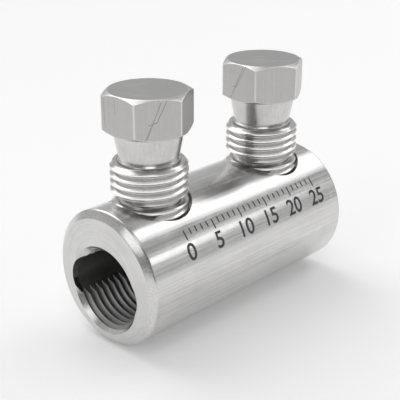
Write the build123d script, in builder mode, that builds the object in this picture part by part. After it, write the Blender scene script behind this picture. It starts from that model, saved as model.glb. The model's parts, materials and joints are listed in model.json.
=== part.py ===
"""Mechanical cable connector: a round body, bored from both ends, with a shear bolt over each bore.

X runs along the conductors from the front end to the rear one, and Z points up to the bolt heads.
The origin is on the bore axis, where the wall of the front bore starts, at the foot of its countersink.
"""
import os
from math import ceil, radians, sqrt, tan

from build123d import *

os.makedirs("parts", exist_ok=True)

# Body: a round bar whose own axis lies above the bore axis
body_diameter = 17.8
body_length = 37.7
bore_offset = 1.45
end_chamfer_length = 0.75
end_chamfer_depth = 1.0

# Conductor bores: opened from each end up to a barrier left in the middle
bore_thread_diameter = 11.0
bore_thread_pitch = 1.0
mouth_diameter = 11.5
barrier_thickness = 2.5

# Side grooves of each bore: a slot with round ends, for shaped conductors
slot_width = 12.0
slot_height = 6.4
slot_rise = 0.3

# Threads of the two shear bolts, which are the same piece
bolt_spacing = 21.5
bolt_thread_diameter = 10.0
bolt_thread_pitch = 1.0
thread_clearance = 0.065
thread_lead_in = 1.3
thread_start_angle = 90.0

# Lengths of a bolt's stretches, from its tip up to its head, and the gap that it leaves to the bore
tip_clearance = 0.1
lower_thread_length = 5.0
waist_length = 1.25
upper_thread_length = 3.9
neck_length = 3.8
head_height = 5.1

# Shear points: the waist between the threads and the foot of the tapered neck
waist_diameter = 7.5
neck_foot_diameter = 7.5
neck_top_diameter = 8.9
lip_width = 0.17
lip_height = 0.12
relief_width = 0.13
relief_depth = 0.15
tip_chamfer = 1.0
shoulder_chamfer = 0.42

# Hexagon head, both ends turned to a flat cone
head_across_flats = 10.0
head_cone_angle = 30.0
head_face_inset = 0.07

# Bolt holes: cut down to the bore, with a plain mouth in the curved surface
hole_mouth_diameter = 10.6
hole_mouth_depth = 2.0

# Thread depths, and the widths of a thread's root and of one flank, for each millimetre of pitch
inner_thread_depth = 0.5413
outer_thread_depth = 0.6134
thread_root_width = 0.25
thread_flank_width = 0.3125

# How far the turned outlines of a bolt are drawn outside its thread and its corners
outline_margin = 0.8

crown_height = bore_offset + body_diameter / 2
bore_radius = bore_thread_diameter / 2 - inner_thread_depth * bore_thread_pitch
bore_depth = (body_length - barrier_thickness) / 2
mouth_depth = mouth_diameter / 2 - bore_radius

hole_radius = bolt_thread_diameter / 2
crest_radius = hole_radius - thread_clearance
root_radius = crest_radius - outer_thread_depth * bolt_thread_pitch

front_face_x = -mouth_depth
rear_face_x = front_face_x + body_length
front_bolt_x = (front_face_x + rear_face_x - bolt_spacing) / 2
rear_bolt_x = front_bolt_x + bolt_spacing

tip_height = bore_radius + tip_clearance
waist_foot = tip_height + lower_thread_length
upper_thread_foot = waist_foot + waist_length
neck_foot = upper_thread_foot + upper_thread_length
head_foot = neck_foot + neck_length
neck_start = neck_foot + lip_height + lip_width


def threaded_rod(outer_radius, inner_radius, pitch, foot, length):
    """A right-hand threaded rod, at least as long as asked: helical strips, turn by turn, and two stepped ends."""
    root_end = foot + thread_root_width * pitch
    crest_foot = root_end + thread_flank_width * pitch
    crest_end = foot + (1 - thread_flank_width) * pitch
    profile = [
        (inner_radius, foot),
        (inner_radius, root_end),
        (outer_radius, crest_foot),
        (outer_radius, crest_end),
        (inner_radius, foot + pitch),
    ]
    turns = ceil(length / pitch)
    strips = []
    for turn in range(turns):
        edges = [Edge.make_helix(pitch, pitch, radius, (0, 0, z + turn * pitch)) for radius, z in profile]
        strips += [Face.make_surface_from_curves(*pair) for pair in zip(edges, edges[1:])]

    # Each end is a helicoid as steep as the thread, and one flat step across a single turn
    ends = []
    for lift in (0, turns * pitch):
        axis_edge = Edge.make_line((0, 0, foot + lift), (0, 0, foot + lift + pitch))
        rim_edge = Edge.make_helix(pitch, pitch, inner_radius, (0, 0, foot + lift))
        ends.append(Face.make_surface_from_curves(axis_edge, rim_edge))
        with BuildSketch(Plane.XZ) as step:
            with BuildLine():
                Polyline(
                    (0, foot + lift),
                    *[(radius, z + lift) for radius, z in profile],
                    (0, foot + lift + pitch),
                    close=True,
                )
            make_face()
        ends.append(step.sketch.face())
    return Solid(Shell(strips + ends)).rotate(Axis.Z, thread_start_angle)


def shear_groove(foot_radius, foot):
    """Profile points where a thin waist or neck stands in the end face of a thread: lip and relief."""
    lip_radius = foot_radius + lip_width
    relief_radius = lip_radius + relief_width
    return [
        (relief_radius, foot),
        (relief_radius, foot - relief_depth),
        (lip_radius, foot - relief_depth),
        (lip_radius, foot + lip_height),
        (foot_radius, foot + lip_height + lip_width),
    ]


with BuildPart() as connector_body:
    # Turned bar with a chamfer at each end
    with BuildSketch(Plane.YZ.offset(front_face_x)) as bar_section:
        with Locations((0, bore_offset)):
            Circle(body_diameter / 2)
    extrude(amount=body_length)
    for end_face in connector_body.faces().filter_by(Axis.X):
        chamfer(end_face.edges(), end_chamfer_depth, end_chamfer_length, reference=end_face)

    # Bore, side grooves and countersunk mouth at each end
    for end_x, inward in ((front_face_x, 1), (rear_face_x, -1)):
        end_plane = Plane((end_x, 0, 0), x_dir=(0, inward, 0), z_dir=(inward, 0, 0))
        with BuildSketch(end_plane) as bore_section:
            Circle(bore_radius)
            with Locations((0, slot_rise)):
                SlotOverall(slot_width, slot_height)
        extrude(amount=bore_depth, mode=Mode.SUBTRACT)
        with Locations(end_plane.offset(mouth_depth / 2)):
            Cone(mouth_diameter / 2, bore_radius, mouth_depth, mode=Mode.SUBTRACT)

    # Bolt holes from the crown down into the bores
    with BuildSketch() as hole_section:
        with Locations((front_bolt_x, 0), (rear_bolt_x, 0)):
            Circle(hole_radius)
    extrude(amount=crown_height, mode=Mode.SUBTRACT)
    with BuildSketch(Plane.XY.offset(crown_height)) as hole_mouth_section:
        with Locations((front_bolt_x, 0), (rear_bolt_x, 0)):
            Circle(hole_mouth_diameter / 2)
    extrude(amount=-hole_mouth_depth, mode=Mode.SUBTRACT)

connector_body.part.label = "connector_body"
export_step(connector_body.part, "parts/connector_body.step")


with BuildPart() as bolt_head:
    with BuildSketch(Plane.XY.offset(head_foot)) as hexagon:
        RegularPolygon(head_across_flats / 2, 6, major_radius=False, rotation=30)
    extrude(amount=head_height)
    # Both ends are turned, which cuts the six corners to curved edges
    with BuildSketch(Plane.XZ) as head_outline:
        face_radius = head_across_flats / 2 - head_face_inset
        outline_radius = head_across_flats / sqrt(3) + outline_margin
        cone_height = (outline_radius - face_radius) * tan(radians(head_cone_angle))
        with BuildLine():
            Polyline(
                (0, head_foot),
                (face_radius, head_foot),
                (outline_radius, head_foot + cone_height),
                (outline_radius, head_foot + head_height - cone_height),
                (face_radius, head_foot + head_height),
                (0, head_foot + head_height),
                close=True,
            )
        make_face()
    revolve(mode=Mode.INTERSECT)


with BuildPart() as shear_bolt:
    # One thread runs over both threaded stretches
    rod_foot = tip_height - thread_lead_in
    add(threaded_rod(crest_radius, root_radius, bolt_thread_pitch, rod_foot, neck_start - rod_foot))
    # The blank: chamfered tip, lower thread, waist, upper thread, foot of the neck
    with BuildSketch(Plane.XZ) as shank_outline:
        outside = crest_radius + outline_margin
        shoulder_radius = crest_radius - shoulder_chamfer
        shoulder_drop = shoulder_chamfer + outline_margin
        with BuildLine():
            Polyline(
                (0, tip_height),
                (crest_radius - tip_chamfer, tip_height),
                (outside, tip_height + tip_chamfer + outline_margin),
                (outside, waist_foot - shoulder_drop),
                (shoulder_radius, waist_foot),
                *shear_groove(waist_diameter / 2, waist_foot),
                (waist_diameter / 2, upper_thread_foot),
                (shoulder_radius, upper_thread_foot),
                (outside, upper_thread_foot + shoulder_drop),
                (outside, neck_foot - shoulder_drop),
                (shoulder_radius, neck_foot),
                *shear_groove(neck_foot_diameter / 2, neck_foot),
                (0, neck_start),
                close=True,
            )
        make_face()
    revolve(mode=Mode.INTERSECT)
    with Locations((0, 0, (neck_start + head_foot) / 2)):
        Cone(neck_foot_diameter / 2, neck_top_diameter / 2, head_foot - neck_start)
    add(bolt_head.part)


with BuildPart() as shear_bolt_front:
    with Locations((front_bolt_x, 0)):
        add(shear_bolt.part)

shear_bolt_front.part.label = "shear_bolt_front"
export_step(shear_bolt_front.part, "parts/shear_bolt_front.step")


with BuildPart() as shear_bolt_rear:
    with Locations((rear_bolt_x, 0)):
        add(shear_bolt.part)

shear_bolt_rear.part.label = "shear_bolt_rear"
export_step(shear_bolt_rear.part, "parts/shear_bolt_rear.step")
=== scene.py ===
"""Mechanical cable connector: a plated round body, tapped from both ends, with a shear bolt over each bore.

Lengths are in metres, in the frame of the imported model: X along the conductors, Z up to the bolt heads.
"""

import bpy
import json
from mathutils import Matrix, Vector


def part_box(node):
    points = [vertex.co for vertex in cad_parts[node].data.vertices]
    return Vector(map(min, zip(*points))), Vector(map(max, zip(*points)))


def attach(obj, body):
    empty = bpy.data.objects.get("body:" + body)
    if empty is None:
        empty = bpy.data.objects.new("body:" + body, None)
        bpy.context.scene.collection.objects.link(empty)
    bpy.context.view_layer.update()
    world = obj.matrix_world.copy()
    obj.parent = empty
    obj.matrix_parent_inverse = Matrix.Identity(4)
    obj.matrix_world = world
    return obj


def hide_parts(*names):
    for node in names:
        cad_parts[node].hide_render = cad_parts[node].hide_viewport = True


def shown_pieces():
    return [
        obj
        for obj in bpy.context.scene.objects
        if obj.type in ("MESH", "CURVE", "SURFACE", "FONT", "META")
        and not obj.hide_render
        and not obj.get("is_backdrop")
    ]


bl_info = {
    "name": "Mechanical Cable Connector",
    "version": (1, 0, 0),
    "blender": (4, 5, 0),
    "location": "3D View > Sidebar > Connector",
    "description": "Builds a shear-bolt cable connector around its packed model, with its stage",
    "category": "Object",
}

import json
from math import ceil, cos, pi, radians, sin, sqrt, tan

import bpy
from bpy.props import FloatProperty, FloatVectorProperty, IntProperty, PointerProperty
from mathutils import Quaternion, Vector

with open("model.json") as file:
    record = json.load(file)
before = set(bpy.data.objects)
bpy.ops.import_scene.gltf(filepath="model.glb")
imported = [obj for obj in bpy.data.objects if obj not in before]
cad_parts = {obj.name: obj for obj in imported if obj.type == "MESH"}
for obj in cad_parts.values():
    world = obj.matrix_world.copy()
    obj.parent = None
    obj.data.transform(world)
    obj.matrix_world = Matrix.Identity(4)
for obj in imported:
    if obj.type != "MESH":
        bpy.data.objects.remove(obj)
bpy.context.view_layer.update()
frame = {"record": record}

mm = 0.001

# Points closer than the first are merged, and edges shorter than the second are dropped
merge_distance = 0.0015 * mm
hair = 0.001 * mm

# A turned end face has a ring of its own as wide as this, so that its edge can be rounded
rim_width = 0.3 * mm

# Faces that meet at a smaller angle, in degrees, are shaded as one
smooth_angle = 25

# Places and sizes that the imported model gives
body_low, body_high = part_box("connector_body")
body_radius = (body_high.y - body_low.y) / 2
body_middle = Vector(((body_low.x + body_high.x) / 2, 0, body_low.z + body_radius))
mounts = {mount["name"]: mount for mount in frame["record"]["mounts"]}
bore_radius = mounts["front_conductor_bore"]["dims"]["r_mm"] * mm
bore_wall_length = mounts["front_conductor_bore"]["dims"]["length_mm"] * mm
mouth_depth = -body_low.x
bolt_boxes = {"front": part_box("shear_bolt_front"), "rear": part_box("shear_bolt_rear")}
bolt_places = {end: Vector(((low.x + high.x) / 2, 0, 0)) for end, (low, high) in bolt_boxes.items()}
bolt_low, bolt_high = bolt_boxes["front"]
across_flats = bolt_high.x - bolt_low.x
corner_radius = across_flats / sqrt(3)


def length(name, description, default):
    """A length property, in metres."""
    return FloatProperty(
        name=name, description=description, default=default, min=0, unit="LENGTH", precision=6
    )


def angle(name, description, default):
    """An angle property, given in degrees."""
    return FloatProperty(name=name, description=description, default=radians(default), subtype="ANGLE")


def share(name, description, default):
    """A property between nothing and all."""
    return FloatProperty(
        name=name, description=description, default=default, min=0, max=1, subtype="FACTOR"
    )


def whole(name, description, default, low):
    """A whole-number property."""
    return IntProperty(name=name, description=description, default=default, min=low)


def colour(name, description, default):
    """A colour property."""
    return FloatVectorProperty(
        name=name, description=description, default=default, size=3, min=0, max=1, subtype="COLOR"
    )


class BodySizes(bpy.types.PropertyGroup):
    chamfer_length: length("Chamfer length", "Length of the end chamfer along the body", 0.75 * mm)
    chamfer_depth: length("Chamfer depth", "How far the end chamfer narrows the end face", 1.0 * mm)
    edge_round: length("Edge round", "Radius that softens the turned edges", 0.4 * mm)
    pitch: length("Thread pitch", "Pitch of the threads in the bores and in the bolt holes", 1.0 * mm)
    bore_thread_radius: length("Bore thread radius", "Radius at the root of the bore's thread", 5.5 * mm)
    first_ridge: length("First ridge", "Where the bore's first ridge lies, level with its axis", 0.678 * mm)
    slot_width: length("Slot width", "Width over both side grooves of a bore", 12.0 * mm)
    slot_height: length("Slot height", "Height of the side grooves", 6.4 * mm)
    slot_rise: length("Slot rise", "How far the side grooves lie above the bore axis", 0.3 * mm)
    hole_radius: length("Hole radius", "Inner radius of the bolt holes", 5.0 * mm)
    hole_thread_radius: length("Hole thread radius", "Radius at the root of the holes' thread", 5.1 * mm)
    hole_mouth_radius: length("Hole mouth radius", "Radius of the bolt holes where they open", 5.14 * mm)
    hole_mouth_shift: length("Hole mouth shift", "How far the mouths lie off the bolts' axes", 0.16 * mm)
    hole_mouth_depth: length("Hole mouth depth", "Depth of the wide mouth below the crown", 2.0 * mm)
    segments: whole("Segments", "Sides of the turned body", 256, 64)
    mill_segments: whole("Mill segments", "Sides of the mill that cuts the side grooves", 96, 24)


class BoltSizes(bpy.types.PropertyGroup):
    pitch: length("Pitch", "Pitch of the bolt's thread", 1.0 * mm)
    crest_radius: length("Crest radius", "Radius over the thread's crests", 4.935 * mm)
    thread_depth: length("Thread depth", "Depth of the thread", 0.6134 * mm)
    lead_in: length("Thread lead-in", "How far below the tip the thread is started", 1.3 * mm)
    lower_thread: length("Lower thread", "Length of the threaded stretch below the waist", 5.0 * mm)
    waist: length("Waist", "Length of the waist between the two threads", 0.95 * mm)
    upper_thread: length("Upper thread", "Length of the threaded stretch above the waist", 4.2 * mm)
    neck: length("Neck", "Length of the tapered neck", 3.8 * mm)
    shear_radius: length("Shear radius", "Radius of the waist and of the neck's foot", 3.75 * mm)
    neck_top_radius: length("Neck top radius", "Radius of the neck under the head", 4.45 * mm)
    lip_width: length("Lip width", "Width of the lip around a shear point", 0.17 * mm)
    lip_height: length("Lip height", "How far the lip stands above the thread's end face", 0.12 * mm)
    relief_width: length("Relief width", "Width of the groove around the lip", 0.13 * mm)
    relief_depth: length("Relief depth", "Depth of the groove around the lip", 0.15 * mm)
    tip_chamfer: length("Tip chamfer", "Chamfer at the bolt's tip", 1.0 * mm)
    waist_chamfer: length("Waist chamfer", "Chamfer of both threads at the waist", 0.18 * mm)
    shoulder_chamfer: length("Shoulder chamfer", "Chamfer of the upper thread at the neck", 0.42 * mm)
    face_inset: length("Face inset", "How far the turned face lies inside the flats", 0.07 * mm)
    cone_angle: angle("Cone angle", "Slope of the head's turned ends", 30)
    corner_round: length("Corner round", "Width of the softened upright corners", 0.09 * mm)
    rim_round: length("Rim round", "Width of the softened rims of the two end faces", 0.06 * mm)
    edge_round: length("Edge round", "Radius that softens the shank's turned edges", 0.05 * mm)
    segments: whole("Segments", "Sides of the turned stretches", 144, 48)


class ScaleSizes(bpy.types.PropertyGroup):
    angle: angle("Angle", "How far round from the crown the scale's middle lies", 58)
    start: length("Start", "Where the scale starts, from the front end face", 7.5 * mm)
    division: length("Division", "From one tick to the next", 1.0 * mm)
    divisions: whole("Divisions", "Divisions of the scale", 25, 5)
    numbered: whole("Numbered", "Divisions from one number to the next", 5, 1)
    digit_height: length("Digit height", "Height of the numbers", 2.1 * mm)
    long_tick: length("Long tick", "Length of the ticks over the numbers", 1.3 * mm)
    short_tick: length("Short tick", "Length of the ticks between them", 0.75 * mm)
    line_width: length("Line width", "Width of the ticks", 0.2 * mm)
    gap: length("Gap", "Between the long ticks and the numbers", 0.4 * mm)
    depth: length("Depth", "Thickness of the marks", 0.012 * mm)
    strips: whole("Strips", "Strips that the marks are cut into, to follow the round side", 14, 2)


class ConnectorFinish(bpy.types.PropertyGroup):
    body_colour: colour("Body colour", "Colour of the plated body", (0.65, 0.645, 0.64))
    shank_colour: colour("Shank colour", "Colour of the bolts' threads and necks", (0.60, 0.592, 0.585))
    head_colour: colour("Head colour", "Colour of the bolts' heads", (0.49, 0.483, 0.48))
    mark_colour: colour("Mark colour", "Colour of the marked scale", (0.06, 0.06, 0.062))
    body_roughness: share("Body roughness", "Roughness of the body", 0.22)
    shank_roughness: share("Shank roughness", "Roughness of the bolts' threads and necks", 0.2)
    head_roughness: share("Head roughness", "Roughness of the bolts' heads", 0.32)


class StageSettings(bpy.types.PropertyGroup):
    azimuth: angle("Azimuth", "Camera's place round the object", 313.473)
    elevation: angle("Elevation", "Camera's height over the horizon", 22.335)
    roll: angle("Roll", "Camera's tilt", 0.117)
    distance: length("Distance", "From the camera to its target", 122.243 * mm)
    lens: FloatProperty(name="Lens", description="Focal length in millimetres", default=82.552, unit="CAMERA")
    target: FloatVectorProperty(
        name="Target", description="What the camera looks at", default=(16.447 * mm, 0, 7.003 * mm),
        unit="LENGTH",
    )
    floor_colour: colour("Floor colour", "Colour of the floor", (0.93, 0.93, 0.93))
    floor_glow: share("Floor glow", "How far the floor is lifted to white where it is seen", 0.16)


def activate(piece):
    """Select one object alone, and make it the active one."""
    bpy.ops.object.select_all(action="DESELECT")
    piece.select_set(True)
    bpy.context.view_layer.objects.active = piece


def added(operator, name, **settings):
    """Add an object with nothing else selected."""
    bpy.ops.object.select_all(action="DESELECT")
    operator(**settings)
    piece = bpy.context.active_object
    piece.name = name
    return piece


def settled(piece, location=(0, 0, 0), rotation=(0, 0, 0)):
    """Turn and move a mesh to its place, and leave its object at the origin."""
    activate(piece)
    piece.rotation_euler = rotation
    piece.location = location
    bpy.ops.object.transform_apply(location=True, rotation=True, scale=True)
    return piece


def copied(piece, name):
    """A copy of a piece, with a mesh of its own."""
    activate(piece)
    bpy.ops.object.duplicate(linked=False)
    copy = bpy.context.active_object
    copy.name = name
    return copy


def modified(piece, kind, **settings):
    """Add a modifier to a piece and apply it."""
    activate(piece)
    modifier = piece.modifiers.new(kind.title(), kind)
    for name, value in settings.items():
        setattr(modifier, name, value)
    bpy.ops.object.modifier_apply(modifier=modifier.name)
    return piece


def combined(piece, operation, tool):
    """Cut, join or intersect a piece with a tool, which is used up."""
    modified(piece, "BOOLEAN", operation=operation, solver="EXACT", object=tool)
    bpy.data.objects.remove(tool)
    return piece


def edit(piece, kind="FACE"):
    """Open a piece in edit mode with all of it selected."""
    activate(piece)
    bpy.ops.object.mode_set(mode="EDIT")
    bpy.ops.mesh.select_mode(type=kind)
    bpy.ops.mesh.select_all(action="SELECT")


def edit_where(piece, kind, test):
    """Open a piece in edit mode, with only the vertices, edges or faces selected that pass a test."""
    edit(piece, kind)
    bpy.ops.mesh.select_all(action="DESELECT")
    bpy.ops.object.mode_set(mode="OBJECT")
    mesh = piece.data
    for part in {"VERT": mesh.vertices, "EDGE": mesh.edges, "FACE": mesh.polygons}[kind]:
        part.select = test(part)
    bpy.ops.object.mode_set(mode="EDIT")


def close_edit(outwards=True):
    """Leave edit mode, with every face pointing outwards."""
    bpy.ops.mesh.select_all(action="SELECT")
    if outwards:
        bpy.ops.mesh.normals_make_consistent(inside=False)
    bpy.ops.object.mode_set(mode="OBJECT")


def draw_up(radius, height, stations):
    """Extrude the selected disc through each (radius, height) of an outline about Z."""
    for next_radius, next_height in stations:
        bpy.ops.mesh.extrude_region_move(TRANSFORM_OT_translate={"value": (0, 0, next_height - height)})
        scale = next_radius / radius
        bpy.ops.transform.resize(value=(scale, scale, 1), center_override=(0, 0, next_height))
        radius, height = next_radius, next_height


def turned(name, outline, segments):
    """A blank turned on a lathe about Z, from the (radius, height) points of its outline."""
    (radius, height), *stations = outline
    piece = added(
        bpy.ops.mesh.primitive_circle_add, name, vertices=segments, radius=radius, fill_type="NGON"
    )
    edit(piece)
    bpy.ops.transform.translate(value=(0, 0, height))
    draw_up(radius, height, stations)
    close_edit()
    return piece


def rounded(corners, radius, points=3):
    """An outline whose inner corners are rounded."""
    outline = [corners[0]]
    for before, corner, after in zip(corners, corners[1:], corners[2:]):
        centre = Vector(corner)
        back, ahead = Vector(before) - centre, Vector(after) - centre
        reach = min(radius * tan(back.angle(-ahead) / 2), 0.45 * back.length, 0.45 * ahead.length)
        start = centre + back.normalized() * reach
        end = centre + ahead.normalized() * reach
        for index in range(points + 1):
            step = index / points
            outline.append(tuple(start.lerp(centre, step).lerp(centre.lerp(end, step), step)))
    outline.append(corners[-1])
    return outline


def threaded_rod(name, outer, inner, pitch, foot, low, high, steps=96):
    """A right-hand threaded rod about Z, cut flat at both ends, with a root over its foot on the X side."""
    corner_round = 0.09 * pitch
    corners = [
        (inner, foot + pitch / 8),
        (inner, foot + pitch * 3 / 16),
        (outer, foot + pitch / 2),
        (outer, foot + pitch * 3 / 4),
        (inner, foot + pitch * 17 / 16),
        (inner, foot + pitch * 9 / 8),
    ]
    (radius, height), *stations = rounded(corners, corner_round, 2)
    piece = added(bpy.ops.mesh.primitive_plane_add, name, size=pitch)
    edit(piece, "VERT")
    bpy.ops.mesh.merge(type="CENTER")
    bpy.ops.transform.translate(value=(radius, 0, height))
    for next_radius, next_height in stations:
        step = (next_radius - radius, 0, next_height - height)
        bpy.ops.mesh.extrude_region_move(TRANSFORM_OT_translate={"value": step})
        radius, height = next_radius, next_height
    close_edit(outwards=False)
    turns = ceil((high - foot) / pitch) + 1
    modified(
        piece, "SCREW", axis="Z", angle=2 * pi, screw_offset=pitch, iterations=turns,
        steps=steps, render_steps=steps,
    )
    edit(piece, "VERT")
    bpy.ops.mesh.remove_doubles(threshold=pitch * 0.0005)
    for height, side in ((low, -1), (high, 1)):
        bpy.ops.mesh.select_all(action="SELECT")
        bpy.ops.mesh.bisect(
            plane_co=(0, 0, height), plane_no=(0, 0, side), use_fill=True, clear_outer=True,
            threshold=pitch * 1e-5,
        )
    close_edit()
    return piece


def clean(piece):
    """Merge what a cut left on top of each other."""
    edit(piece, "VERT")
    bpy.ops.mesh.remove_doubles(threshold=merge_distance)
    bpy.ops.mesh.dissolve_degenerate(threshold=hair)
    close_edit()


def finish_piece(piece, materials, body, node):
    """Smooth a piece and give it its materials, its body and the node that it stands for."""
    activate(piece)
    bpy.ops.object.shade_smooth_by_angle(angle=radians(smooth_angle))
    modified(piece, "WEIGHTED_NORMAL", keep_sharp=True)
    piece.data.materials.clear()
    for material in materials:
        piece.data.materials.append(material)
    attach(piece, body)
    if node:
        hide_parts(node)


def set_inputs(tree, node, inputs):
    """Set a node's inputs, by name or by place, to values or to other nodes' sockets."""
    for name, value in inputs.items() if isinstance(inputs, dict) else enumerate(inputs):
        if isinstance(value, bpy.types.NodeSocket):
            tree.links.new(value, node.inputs[name])
        else:
            node.inputs[name].default_value = value


def add_node(tree, kind, inputs=(), **settings):
    """Add a shader node, with its settings and its inputs."""
    node = tree.nodes.new("ShaderNode" + kind)
    for name, value in settings.items():
        setattr(node, name, value)
    set_inputs(tree, node, inputs)
    return node


class Finish:
    """A material's nodes, with coordinates of their own: Z is the turning axis, from a given place."""

    # Repeats of each texture in a metre
    streak_scale = (4000, 4000, 55)
    ring_scale = 5600
    ring_drift = (140, 140, 140)
    cloud_scale = (330, 330, 330)
    speckle_scale = (7000, 7000, 5000)

    # How high the grain stands, and how much darker and rougher scratches and bores are; in the bores the
    # darkening is partly painted shade
    bump_height = 0.005 * mm
    scratch_level = 0.5
    dull_level = 0.58
    dull_roughness = 0.22

    def __init__(self, name, place, turn=(0, 0, 0)):
        self.material = bpy.data.materials.new(name)
        self.material.use_nodes = True
        self.tree = self.material.node_tree
        self.shader = self.tree.nodes["Principled BSDF"]
        source = self.node("TexCoord")
        placing = {"Vector": source.outputs["Object"], "Location": place, "Rotation": turn}
        self.own = self.node("Mapping", placing).outputs["Vector"]
        self.z = self.node("SeparateXYZ", (self.own,)).outputs["Z"]
        self.radius = self.vector("LENGTH", self.stretched((1, 1, 0)))
        turned_normal = self.node("Mapping", {"Vector": source.outputs["Normal"], "Rotation": turn})
        facing = self.node("SeparateXYZ", (turned_normal.outputs["Vector"],)).outputs["Z"]
        self.on_face = self.between(self.math("ABSOLUTE", facing), 0.85, 0.95)

    def node(self, kind, inputs=(), **settings):
        """Add a node to the material."""
        return add_node(self.tree, kind, inputs, **settings)

    def shade(self, inputs):
        """Set inputs of the material's shader."""
        set_inputs(self.tree, self.shader, inputs)

    def math(self, operation, *inputs):
        """One value from one or two others."""
        return self.node("Math", inputs, operation=operation).outputs[0]

    def total(self, first, *others):
        """The sum of some values."""
        for other in others:
            first = self.math("ADD", first, other)
        return first

    def highest(self, first, *others):
        """The highest of some values."""
        for other in others:
            first = self.math("MAXIMUM", first, other)
        return first

    def vector(self, operation, *inputs):
        """A vector or a value from one or two vectors."""
        outputs = self.node("VectorMath", inputs, operation=operation).outputs
        return outputs["Value" if operation in ("LENGTH", "DOT_PRODUCT", "DISTANCE") else "Vector"]

    def between(self, value, low, high, to_low=0.0, to_high=1.0):
        """Where a value stands between two others, carried over to two new ones."""
        inputs = {"Value": value, "From Min": low, "From Max": high, "To Min": to_low, "To Max": to_high}
        return self.node("MapRange", inputs).outputs["Result"]

    def scaled(self, vector, scale):
        """A vector or a colour times a value."""
        return self.node("VectorMath", {0: vector, "Scale": scale}, operation="SCALE").outputs["Vector"]

    def stretched(self, scale):
        """The material's coordinates, each times its own number."""
        return self.vector("MULTIPLY", self.own, scale)

    def noise(self, vector, detail, rough):
        """Noise with one repeat for each unit of a vector."""
        inputs = {"Vector": vector, "Scale": 1.0, "Detail": detail, "Roughness": rough}
        return self.node("TexNoise", inputs).outputs["Fac"]

    def scratch(self, start, end, width):
        """A line from one point to another, given in millimetres from the piece's own place."""
        start, run = Vector(start) * mm, (Vector(end) - Vector(start)) * mm
        away = self.vector("SUBTRACT", self.own, start)
        along = self.math("DIVIDE", self.vector("DOT_PRODUCT", away, run), run.length_squared)
        held = self.node("Clamp", {"Value": along}).outputs[0]
        nearest = self.scaled(run, held)
        return self.between(self.vector("DISTANCE", away, nearest), width * mm, width * mm * 0.3)

    def plated(self, tint, gloss, wear_and_highlight=None, scratched=None, dulled_and_shaded=None, grain=0.1, mottle=0.05, wear_and_highlight_gain=1.4):
        """Plated metal: long grain on the sides, rings on the end faces, bright wear that is partly a painted
        highlight, dark scratches, and dull places darkened partly with painted shade.
        """
        streaks = self.noise(self.stretched(self.streak_scale), 4.0, 0.75)
        ring_place = self.node("CombineXYZ", (self.math("MULTIPLY", self.radius, self.ring_scale), 0.0, 0.0))
        drifted = self.vector("ADD", ring_place.outputs["Vector"], self.stretched(self.ring_drift))
        rings = self.noise(drifted, 3.0, 0.7)
        on_side = self.math("SUBTRACT", 1.0, self.on_face)
        faint_rings = self.between(rings, 0.0, 1.0, 0.22, 0.78)
        detail = self.total(
            self.math("MULTIPLY", streaks, on_side), self.math("MULTIPLY", faint_rings, self.on_face)
        )
        cloud = self.noise(self.stretched(self.cloud_scale), 3.0, 0.6)
        speckle = self.noise(self.stretched(self.speckle_scale), 1.0, 0.5)

        level = self.total(
            self.between(detail, 0.3, 0.7, 1 - grain, 1 + grain),
            self.between(cloud, 0.3, 0.7, -mottle, mottle),
            self.between(speckle, 0.3, 0.7, -0.025, 0.025),
        )
        height = self.total(detail, self.math("MULTIPLY", speckle, 0.2))
        # Wear brightens the colour; on the thread crests and the head's edges this is partly a painted
        # highlight
        if wear_and_highlight is not None:
            level = self.math("MULTIPLY", level, self.between(wear_and_highlight, 0.0, 1.0, 1.0, wear_and_highlight_gain))
        if scratched is not None:
            level = self.math("MULTIPLY", level, self.between(scratched, 0.0, 1.0, 1.0, self.scratch_level))
            height = self.math("SUBTRACT", height, self.math("MULTIPLY", scratched, 0.8))
        roughness = self.total(
            self.between(detail, 0.3, 0.7, gloss - 0.04, gloss + 0.05),
            self.between(cloud, 0.3, 0.7, -0.03, 0.03),
        )
        # Dull places are rougher, and darker with painted shade as well as dullness
        if dulled_and_shaded is not None:
            level = self.math("MULTIPLY", level, self.between(dulled_and_shaded, 0.0, 1.0, 1.0, self.dull_level))
            roughness = self.math("ADD", roughness, self.math("MULTIPLY", dulled_and_shaded, self.dull_roughness))
        bump = self.node("Bump", {"Strength": 1.0, "Distance": self.bump_height, "Height": height})
        self.shade({
            "Base Color": self.scaled(Vector(tint), level),
            "Roughness": roughness,
            "Normal": bump.outputs["Normal"],
            "Metallic": 1.0,
        })
        return self.material


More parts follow.
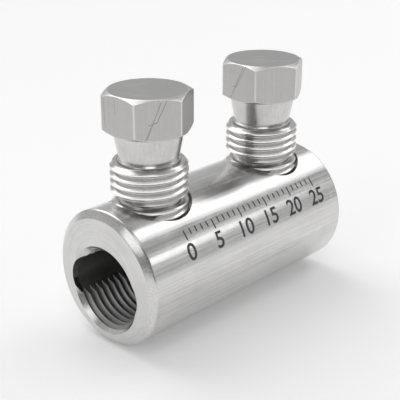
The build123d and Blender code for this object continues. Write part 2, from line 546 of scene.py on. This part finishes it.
class OBJECT_OT_connector_body(bpy.types.Operator):
    """Turn the body, then cut its bores, side grooves and bolt holes, and tap them"""
    bl_idname = "object.connector_body"
    bl_label = "Connector Body"
    bl_options = {"REGISTER", "UNDO"}

    def execute(self, context):
        sizes, finish = context.scene.connector_body, context.scene.connector_finish
        body = self.bar(sizes)
        for cutter in self.end_cutters(sizes) + self.hole_cutters(sizes):
            combined(body, "DIFFERENCE", cutter)
        clean(body)
        metal = self.body_finish(sizes, finish)
        finish_piece(body, [metal], "connector", "connector_body")
        return {"FINISHED"}

    def body_finish(self, sizes, finish):
        """Metal of the body, dull in the bores, and darker there with painted shade."""
        axis = (body_middle.z, 0, 0)
        metal = Finish("plated_body", axis, (0, -pi / 2, 0))
        off_bore = metal.vector("LENGTH", metal.vector("SUBTRACT", metal.stretched((1, 1, 0)), axis))
        from_middle = metal.math("ABSOLUTE", metal.math("ADD", metal.z, -body_middle.x))
        # The front bore's wall starts at the origin, and the rear bore's as far from the middle
        wall_end = body_middle.x
        # Inside the bores the metal is rougher, and darker with painted shade as well as dullness
        dulled_and_shaded = metal.math(
            "MULTIPLY",
            metal.between(off_bore, sizes.slot_width / 2 + 0.2 * mm, sizes.slot_width / 2 + 0.05 * mm),
            metal.between(from_middle, wall_end + 0.02 * mm, wall_end - 0.05 * mm),
        )
        return metal.plated(finish.body_colour, finish.body_roughness, dulled_and_shaded=dulled_and_shaded, grain=0.15)

    def bar(self, sizes):
        """The round bar, with a chamfer at each end."""
        end_radius = body_radius - sizes.chamfer_depth
        outline = [
            (end_radius - sizes.edge_round, body_low.x),
            (end_radius, body_low.x),
            (body_radius, body_low.x + sizes.chamfer_length),
            (body_radius, body_high.x - sizes.chamfer_length),
            (end_radius, body_high.x),
            (end_radius - sizes.edge_round, body_high.x),
        ]
        bar = turned("turned_body", rounded(outline, sizes.edge_round, 5), sizes.segments)
        return settled(bar, (0, 0, body_middle.z), (0, pi / 2, 0))

    def end_cutters(self, sizes):
        """What cuts the two ends: slot mills, countersinks and taps."""
        reach = sizes.pitch
        half_height = sizes.slot_height / 2
        depth = bore_wall_length - body_low.x + reach
        mill = added(
            bpy.ops.mesh.primitive_cylinder_add, "slot_mill", vertices=sizes.mill_segments,
            radius=half_height, depth=depth,
            location=(bore_wall_length - depth / 2, 0, sizes.slot_rise), rotation=(0, pi / 2, 0),
        )
        activate(mill)
        bpy.ops.object.transform_apply()
        # Its halves are moved apart to the slot's width
        for side in (1, -1):
            edit_where(mill, "VERT", lambda vertex: vertex.co.y * side > hair)
            bpy.ops.transform.translate(value=(0, side * (sizes.slot_width / 2 - half_height), 0))
            close_edit()

        sink = turned(
            "countersink",
            [
                (bore_radius + mouth_depth + reach, body_low.x - reach),
                (bore_radius + mouth_depth, body_low.x),
                (bore_radius - reach, body_low.x + mouth_depth + reach),
            ],
            sizes.segments,
        )
        # The tap starts some whole turns outside, so that the first ridge comes at its place
        tap_foot = sizes.first_ridge - sizes.pitch * 3 / 8 - 4 * sizes.pitch
        tap = threaded_rod(
            "bore_tap", sizes.bore_thread_radius, bore_radius, sizes.pitch, tap_foot,
            body_low.x - reach, bore_wall_length,
        )
        front = [mill, settled(sink, rotation=(0, pi / 2, 0)), settled(tap, rotation=(0, pi / 2, 0))]
        to_rear = (2 * body_middle.x, 0, 0)
        rear = [settled(copied(tool, tool.name + "_rear"), to_rear, (0, 0, pi)) for tool in front]
        return front + rear

    def hole_cutters(self, sizes):
        """What cuts the bolt holes: a tap and a wider mill for each."""
        over = body_high.z + sizes.pitch
        mouth_foot = body_high.z - sizes.hole_mouth_depth
        # The tap is in step with the bolts' thread, some whole turns below it
        tap_foot = bolt_low.z - bpy.context.scene.connector_bolt.lead_in - 6 * sizes.pitch
        # The mouths lie off the axes towards the rear and the scale
        shift = Vector((1, -1, 0)).normalized() * sizes.hole_mouth_shift
        cutters = []
        for place in bolt_places.values():
            tap = threaded_rod(
                "hole_tap", sizes.hole_thread_radius, sizes.hole_radius, sizes.pitch, tap_foot, 0, over
            )
            mouth = [(sizes.hole_mouth_radius, mouth_foot), (sizes.hole_mouth_radius, over)]
            mill = turned("hole_mill", mouth, sizes.segments // 2)
            cutters += [settled(tap, place, (0, 0, pi / 2)), settled(mill, place + shift)]
        return cutters


class OBJECT_OT_shear_bolts(bpy.types.Operator):
    """Make one shear bolt, and set a copy of it over each bore"""
    bl_idname = "object.shear_bolts"
    bl_label = "Shear Bolts"
    bl_options = {"REGISTER", "UNDO"}

    def execute(self, context):
        sizes, finish = context.scene.connector_bolt, context.scene.connector_finish
        bolt = self.shank(sizes)
        combined(bolt, "UNION", self.head(sizes))
        clean(bolt)
        head_foot = self.heights(sizes)[-1]
        for end, place in bolt_places.items():
            copy = settled(copied(bolt, f"shear_bolt_{end}_dressed"), place)
            shank = self.shank_finish(sizes, finish, f"plated_shank_{end}", -place)
            head = self.head_finish(sizes, finish, f"plated_head_{end}", -place, end)
            finish_piece(copy, [shank, head], f"{end}_bolt", f"shear_bolt_{end}")
            for face in copy.data.polygons:
                face.material_index = int(face.center.z > head_foot - hair)
        bpy.data.objects.remove(bolt)
        return {"FINISHED"}

    # Scratches on the heads: both ends and the width of each, in millimetres from the bolt's axis
    scratches = {
        "front": (
            ((-2.18, -4.52, 23.7), (-3.68, -3.65, 19.38), 0.065),
            ((-1.56, -4.87, 23.88), (-2.62, -4.26, 21.34), 0.06),
            ((-2.62, -4.26, 21.34), (-3.45, -3.78, 21.06), 0.075),
            ((-3.2, -3.93, 20.9), (-4.01, -3.46, 18.9), 0.035),
            ((-5.0, 2.37, 23.51), (-5.0, 2.2, 19.9), 0.05),
            ((-5.0, 0.41, 23.65), (-5.0, 0.33, 21.86), 0.04),
        ),
        "rear": (
            ((-5.0, -0.75, 23.75), (-5.0, 1.28, 19.42), 0.065),
            ((-5.0, -1.26, 23.98), (-5.0, 0.42, 20.97), 0.055),
            ((-5.0, 0.42, 20.97), (-5.0, 0.9, 21.0), 0.08),
        ),
    }
    # Pale scuffs on the top faces, given in the same way, and how bright they are beside a bright edge, whose
    # brightness is partly a painted highlight
    scuffs = {
        "front": (
            ((-3.6, 0.9, 24.1), (-2.9, -1.6, 24.1), 0.08),
            ((-1.2, 2.6, 24.1), (1.6, 1.9, 24.1), 0.08),
        ),
        "rear": (
            ((-3.81, 2.08, 24.1), (-0.8, -0.58, 24.1), 0.14),
            ((-0.93, -0.7, 24.1), (1.44, -3.96, 24.1), 0.14),
            ((-3.84, 0.58, 24.1), (-0.38, -2.56, 24.1), 0.1),
            ((-0.6, 1.2, 24.1), (0.9, 0.4, 24.1), 0.1),
        ),
    }
    scuff_level = 0.7
    # Width of the bright line along the head's edges, partly wear and partly a painted highlight
    worn_width = 0.09 * mm
    # Turns of the blank, in degrees, that are tried until the thread is cut, and how exact that has to be
    blank_turns = (1.1, 0.7, 1.6, 0.4)
    cut_tolerance = 0.01 * mm

    def shank_finish(self, sizes, finish, name, place):
        """Metal of the threads and the neck, bright on the crests with a painted highlight that is partly
        wear.
        """
        metal = Finish(name, place)
        # The crests are brightened: a painted highlight, partly wear
        crest = metal.between(metal.radius, sizes.crest_radius - 0.2 * mm, sizes.crest_radius - 0.05 * mm)
        return metal.plated(
            finish.shank_colour, finish.shank_roughness, wear_and_highlight=crest, mottle=0.07, wear_and_highlight_gain=1.55
        )

    def head_finish(self, sizes, finish, name, place, end):
        """Duller metal of the head, bright along its edges with painted highlights that are partly wear."""
        metal = Finish(name, place)
        face_radius = across_flats / 2 - sizes.face_inset
        line = self.worn_width
        across = metal.highest(*(
            metal.math("ABSOLUTE", metal.vector("DOT_PRODUCT", metal.own, (cos(turn), sin(turn), 0)))
            for turn in (0, pi / 3, 2 * pi / 3)
        ))
        near_flat = metal.between(across, across_flats / 2 - line, across_flats / 2 - line / 4)
        head_foot = self.heights(sizes)[-1]
        to_top = metal.math("SUBTRACT", bolt_high.z, metal.z)
        to_end = metal.math("MINIMUM", to_top, metal.math("SUBTRACT", metal.z, head_foot))
        past_face = metal.math("SUBTRACT", metal.radius, face_radius)
        drop = metal.math("MULTIPLY", past_face, tan(sizes.cone_angle))
        near_cone = metal.between(metal.math("SUBTRACT", to_end, drop), line, line / 4)
        near_corner = metal.between(metal.radius, corner_radius - line, corner_radius - line / 2)
        near_rim = metal.math(
            "MULTIPLY",
            metal.between(metal.math("ABSOLUTE", past_face), line, line / 3),
            metal.between(to_end, 0.08 * mm, 0.05 * mm),
        )
        scuffed = metal.highest(*(metal.scratch(*scuff) for scuff in self.scuffs[end]))
        # The edges are brightened as painted highlights that are partly wear, and the scuffs as wear
        wear_and_highlight = metal.highest(
            metal.math("MULTIPLY", near_flat, near_cone), near_corner, near_rim,
            metal.math("MULTIPLY", scuffed, self.scuff_level),
        )
        scratched = metal.highest(*(metal.scratch(*scratch) for scratch in self.scratches[end]))
        return metal.plated(
            finish.head_colour, finish.head_roughness, wear_and_highlight=wear_and_highlight, scratched=scratched,
            grain=0.055, mottle=0.04,
        )

    def heights(self, sizes):
        """Where the stretches of the bolt meet, from the waist up to the foot of the head."""
        waist_foot = bolt_low.z + sizes.lower_thread
        upper_foot = waist_foot + sizes.waist
        neck_foot = upper_foot + sizes.upper_thread
        return waist_foot, upper_foot, neck_foot, neck_foot + sizes.neck

    def shear_groove(self, sizes, foot):
        """Outline where a thin stretch stands in a thread's end face: a relief groove and a lip."""
        lip_radius = sizes.shear_radius + sizes.lip_width
        relief_radius = lip_radius + sizes.relief_width
        return [
            (relief_radius, foot),
            (relief_radius, foot - sizes.relief_depth),
            (lip_radius, foot - sizes.relief_depth),
            (lip_radius, foot + sizes.lip_height),
            (sizes.shear_radius, foot + sizes.lip_height + sizes.lip_width),
        ]

    def shank(self, sizes):
        """Both threaded stretches, the waist and the neck."""
        waist_foot, upper_foot, neck_foot, head_foot = self.heights(sizes)
        reach = sizes.pitch
        outside = sizes.crest_radius + reach
        waist_radius = sizes.crest_radius - sizes.waist_chamfer
        waist_drop = sizes.waist_chamfer + reach
        tip_radius = sizes.crest_radius - sizes.tip_chamfer
        outline = [
            (tip_radius - rim_width, bolt_low.z),
            (tip_radius, bolt_low.z),
            (outside, bolt_low.z + sizes.tip_chamfer + reach),
            (outside, waist_foot - waist_drop),
            (waist_radius, waist_foot),
            *self.shear_groove(sizes, waist_foot),
            (sizes.shear_radius, upper_foot),
            (waist_radius, upper_foot),
            (outside, upper_foot + waist_drop),
            (outside, neck_foot - sizes.shoulder_chamfer - reach),
            (sizes.crest_radius - sizes.shoulder_chamfer, neck_foot),
            *self.shear_groove(sizes, neck_foot),
        ]
        neck_start = outline[-1][1]
        # The rod starts two whole turns lower than its lead-in, so that its foot is cut flat and closed
        rod_foot = bolt_low.z - sizes.lead_in - 2 * sizes.pitch
        # The blank's edges are turned off the rod's, and a cut that fails is made again with another turn
        for turn in self.blank_turns:
            blank = turned("bolt_blank", rounded(outline, sizes.edge_round, 2), sizes.segments)
            rod = threaded_rod(
                "shear_bolt", sizes.crest_radius, sizes.crest_radius - sizes.thread_depth, sizes.pitch,
                rod_foot, bolt_low.z - sizes.lead_in / 2, neck_start + reach,
            )
            settled(blank, rotation=(0, 0, radians(turn)))
            bolt = combined(settled(rod, rotation=(0, 0, pi / 2)), "INTERSECT", blank)
            widest = max(vertex.co.xy.length for vertex in bolt.data.vertices)
            if widest < sizes.crest_radius + self.cut_tolerance:
                break
            bpy.data.objects.remove(bolt)
        else:
            raise RuntimeError("the bolt's thread could not be cut")
        # The neck is drawn up from the disc that is left on top, and a little way into the head
        edit_where(bolt, "FACE", lambda face: face.normal.z > 0.99 and face.center.z > neck_start - hair)
        neck = [(sizes.neck_top_radius, head_foot), (sizes.neck_top_radius, head_foot + reach)]
        draw_up(sizes.shear_radius, neck_start, neck)
        close_edit()
        return bolt

    def head(self, sizes):
        """The hexagon head, with both ends turned to a flat cone."""
        head_foot, head_top = self.heights(sizes)[-1], bolt_high.z
        reach = sizes.pitch
        head = added(
            bpy.ops.mesh.primitive_cylinder_add, "bolt_head", vertices=6, radius=corner_radius,
            depth=head_top - head_foot + 2 * reach, location=(0, 0, (head_foot + head_top) / 2),
        )
        activate(head)
        bpy.ops.object.transform_apply()

        def upright(edge):
            foot, top = (head.data.vertices[index].co.z for index in edge.vertices)
            return abs(top - foot) > reach

        edit_where(head, "EDGE", upright)
        bpy.ops.mesh.bevel(offset=sizes.corner_round, segments=2, affect="EDGES")
        close_edit()

        face_radius = across_flats / 2 - sizes.face_inset
        cone_height = (corner_radius + reach - face_radius) * tan(sizes.cone_angle)
        outline = [
            (face_radius - rim_width, head_foot),
            (face_radius, head_foot),
            (corner_radius + reach, head_foot + cone_height),
            (corner_radius + reach, head_top - cone_height),
            (face_radius, head_top),
            (face_radius - rim_width, head_top),
        ]
        cone = turned("head_blank", rounded(outline, sizes.rim_round, 1), sizes.segments)
        return combined(head, "INTERSECT", cone)


class OBJECT_OT_number_scale(bpy.types.Operator):
    """Mark a plain length scale with numbers along the side of the body"""
    bl_idname = "object.number_scale"
    bl_label = "Number Scale"
    bl_options = {"REGISTER", "UNDO"}

    # A digit's height for a text size of 1, and how much its strokes are widened on each side
    digit_share = 0.7
    stroke_gain = 0.045 * mm

    def execute(self, context):
        sizes, finish = context.scene.connector_scale, context.scene.connector_finish
        body = next(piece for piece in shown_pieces() if piece.name == "turned_body")
        height = sizes.long_tick + sizes.gap + sizes.digit_height
        marks = []
        for place in range(sizes.divisions + 1):
            tick = sizes.short_tick if place % sizes.numbered else sizes.long_tick
            middle = (place * sizes.division, (height - tick) / 2, 0)
            width = sizes.line_width
            mark = added(bpy.ops.mesh.primitive_plane_add, "tick", size=width, location=middle)
            mark.scale.y = tick / width
            marks.append(mark)
            if place % sizes.numbered == 0:
                marks.append(self.number(sizes, place, height))
        bpy.ops.object.select_all(action="DESELECT")
        for mark in marks:
            mark.select_set(True)
        bpy.ops.object.transform_apply()
        bpy.ops.object.join()
        scale = bpy.context.active_object
        scale.name = "number_scale"

        # Cut across into narrow strips, laid on the round side and given a little thickness
        edit(scale)
        for strip in range(1, sizes.strips):
            bpy.ops.mesh.select_all(action="SELECT")
            bpy.ops.mesh.bisect(plane_co=(0, height * (strip / sizes.strips - 0.5), 0), plane_no=(0, 1, 0))
        bpy.ops.object.mode_set(mode="OBJECT")
        outwards = Vector((0, -sin(sizes.angle), cos(sizes.angle)))
        scale.rotation_euler = (sizes.angle, 0, 0)
        scale.location = body_middle + outwards * (body_radius + mm)
        scale.location.x = body_low.x + sizes.start
        modified(
            scale, "SHRINKWRAP", target=body, wrap_method="PROJECT", use_project_z=True,
            use_negative_direction=True, use_positive_direction=False, offset=sizes.depth / 2,
        )
        modified(scale, "SOLIDIFY", thickness=sizes.depth, offset=-1)
        bpy.ops.object.transform_apply()
        edit(scale)
        close_edit()
        ink = Finish("marked_scale", (0, 0, 0))
        fade = ink.noise(ink.stretched((2500, 2500, 2500)), 3.0, 0.6)
        level = ink.between(fade, 0.3, 0.7, 0.8, 1.5)
        tint = ink.scaled(Vector(finish.mark_colour), level)
        ink.shade({"Base Color": tint, "Roughness": 0.55, "Metallic": 0.3})
        finish_piece(scale, [ink.material], "connector", None)
        return {"FINISHED"}

    def number(self, sizes, place, height):
        """A number under its tick, made a mesh."""
        number = added(bpy.ops.object.text_add, "number")
        number.data.body = str(place)
        number.data.align_x = "CENTER"
        number.data.size = sizes.digit_height / self.digit_share
        number.data.offset = self.stroke_gain
        number.location = (place * sizes.division, -height / 2, 0)
        activate(number)
        bpy.ops.object.convert(target="MESH")
        return bpy.context.active_object


class OBJECT_OT_connector_stage(bpy.types.Operator):
    """Set the floor, the lights, the sky and the camera"""
    bl_idname = "object.connector_stage"
    bl_label = "Connector Stage"
    bl_options = {"REGISTER", "UNDO"}

    # Lamps: azimuth and elevation in degrees, width and height in metres, radiance where 1 is white
    softboxes = {
        "rear_softbox": (-6, 46, 0.57, 0.50, 1.6),
        "left_softbox": (182, 31, 0.62, 0.50, 1.2),
        "side_strip": (-49, 23.5, 0.38, 0.15, 1.8),
        "front_softbox": (229, 61, 0.55, 0.41, 1.85),
    }
    softbox_distance = 1.2
    floor_size = 3

    # Greys of the sky, from level with the floor at 0 to straight up at 1
    sky_greys = (
        (0.0, 0.56), (0.36, 0.56), (0.5, 0.52), (0.63, 0.42),
        (0.71, 0.5), (0.85, 0.5), (0.93, 0.55), (1.0, 0.6),
    )
    # Zones of the sky: a direction, the cosines at the zone's edge and core, and the core's brightness. The
    # bright one is behind the body, whose shadow falls to the front; the dark one is on the camera's side
    sky_zones = (
        ((0.05, 0.64, 0.765), 0.86, 1.0, 6.1),
        ((-0.57, -0.54, 0.62), 0.5, 0.85, 0.42),
    )

    def execute(self, context):
        settings = context.scene.connector_stage
        self.floor(settings)
        self.sky(context.scene)
        for name, softbox in self.softboxes.items():
            self.softbox(name, *softbox)
        self.camera(context.scene, settings)
        context.scene.view_settings.view_transform = "Standard"
        return {"FINISHED"}

    def floor(self, settings):
        """The plain pale floor that the body lies on."""
        floor = added(bpy.ops.mesh.primitive_plane_add, "floor", size=self.floor_size)
        settled(floor, (0, 0, body_low.z))
        material = bpy.data.materials.new("pale_floor")
        material.use_nodes = True
        tree = material.node_tree
        # The lift to white is for what is seen, directly or in metal, and lights nothing
        path = add_node(tree, "LightPath").outputs
        seen = 0.0
        for ray in ("Is Camera Ray", "Is Glossy Ray", "Is Transmission Ray"):
            seen = add_node(tree, "Math", (path[ray], seen), operation="MAXIMUM").outputs[0]
        glow = add_node(tree, "Math", (seen, settings.floor_glow), operation="MULTIPLY").outputs[0]
        set_inputs(tree, tree.nodes["Principled BSDF"], {
            "Base Color": (*settings.floor_colour, 1),
            "Roughness": 0.9,
            "Specular IOR Level": 0.0,
            "Emission Color": (1, 1, 1, 1),
            "Emission Strength": glow,
        })
        floor.data.materials.append(material)
        floor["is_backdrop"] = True

    def sky(self, scene):
        """A soft grey surround with a bright and a dark zone."""
        world = bpy.data.worlds.new("studio")
        world.use_nodes = True
        tree = world.node_tree
        direction = add_node(tree, "TexCoord").outputs["Generated"]
        rise = add_node(tree, "SeparateXYZ", (direction,)).outputs["Z"]
        ramp = add_node(tree, "ValToRGB", (rise,))
        stops = ramp.color_ramp.elements
        lowest, *between, highest = self.sky_greys
        for stop, (position, grey) in zip(stops, (lowest, highest)):
            stop.position, stop.color = position, (grey, grey, grey, 1)
        for position, grey in between:
            stops.new(position).color = (grey, grey, grey, 1)

        levels = []
        for toward, edge, core, level in self.sky_zones:
            near = add_node(tree, "VectorMath", (direction, toward), operation="DOT_PRODUCT").outputs["Value"]
            carried = {"Value": near, "From Min": edge, "From Max": core, "To Min": 1.0, "To Max": level}
            levels.append(add_node(tree, "MapRange", carried).outputs["Result"])
        strength = add_node(tree, "Math", levels, operation="MULTIPLY").outputs[0]
        colour_and_strength = {"Color": ramp.outputs["Color"], "Strength": strength}
        set_inputs(tree, tree.nodes["Background"], colour_and_strength)
        scene.world = world

    def softbox(self, name, azimuth, elevation, width, height, radiance):
        """A soft rectangular lamp that faces the body."""
        turn, rise = radians(azimuth), radians(elevation)
        aim = Vector((cos(turn) * cos(rise), sin(turn) * cos(rise), sin(rise)))
        place = body_middle + aim * self.softbox_distance
        lamp = added(bpy.ops.object.light_add, name, type="AREA", location=place)
        lamp.rotation_euler = aim.to_track_quat("Z", "Y").to_euler()
        lamp.data.shape = "RECTANGLE"
        lamp.data.size, lamp.data.size_y = width, height
        lamp.data.energy = radiance * pi * width * height

    def camera(self, scene, settings):
        """The camera at the photograph's viewing angle."""
        back = Vector((
            sin(settings.azimuth) * cos(settings.elevation),
            -cos(settings.azimuth) * cos(settings.elevation),
            sin(settings.elevation),
        ))
        place = Vector(settings.target) + back * settings.distance
        camera = added(bpy.ops.object.camera_add, "camera", location=place)
        facing = (-back).to_track_quat("-Z", "Y") @ Quaternion((0, 0, 1), settings.roll)
        camera.rotation_euler = facing.to_euler()
        camera.data.lens = settings.lens
        camera.data.sensor_width = 36
        camera.data.clip_start = 0.005
        scene.camera = camera


class VIEW3D_PT_connector(bpy.types.Panel):
    """The connector's sizes, finishes and steps"""
    bl_label = "Cable Connector"
    bl_space_type = "VIEW_3D"
    bl_region_type = "UI"
    bl_category = "Connector"

    def draw(self, context):
        layout = self.layout
        for operator, group in steps:
            box = layout.box()
            box.operator(operator.bl_idname)
            for name in groups[group].__annotations__:
                box.prop(getattr(context.scene, group), name)


groups = {
    "connector_body": BodySizes,
    "connector_bolt": BoltSizes,
    "connector_scale": ScaleSizes,
    "connector_finish": ConnectorFinish,
    "connector_stage": StageSettings,
}
steps = (
    (OBJECT_OT_connector_body, "connector_body"),
    (OBJECT_OT_shear_bolts, "connector_bolt"),
    (OBJECT_OT_number_scale, "connector_scale"),
    (OBJECT_OT_connector_stage, "connector_stage"),
)
classes = (*groups.values(), *(operator for operator, group in steps), VIEW3D_PT_connector)


def register():
    """Add the operators and the panel, and give the scene their settings."""
    for kind in classes:
        bpy.utils.register_class(kind)
    for name, group in groups.items():
        setattr(bpy.types.Scene, name, PointerProperty(type=group))


def unregister():
    """Take away what register has added."""
    for name in groups:
        delattr(bpy.types.Scene, name)
    for kind in reversed(classes):
        bpy.utils.unregister_class(kind)


def main():
    """Build the connector and its stage."""
    register()
    bpy.ops.object.connector_body()
    bpy.ops.object.shear_bolts()
    bpy.ops.object.number_scale()
    bpy.ops.object.connector_stage()


if __name__ == "__main__":
    main()
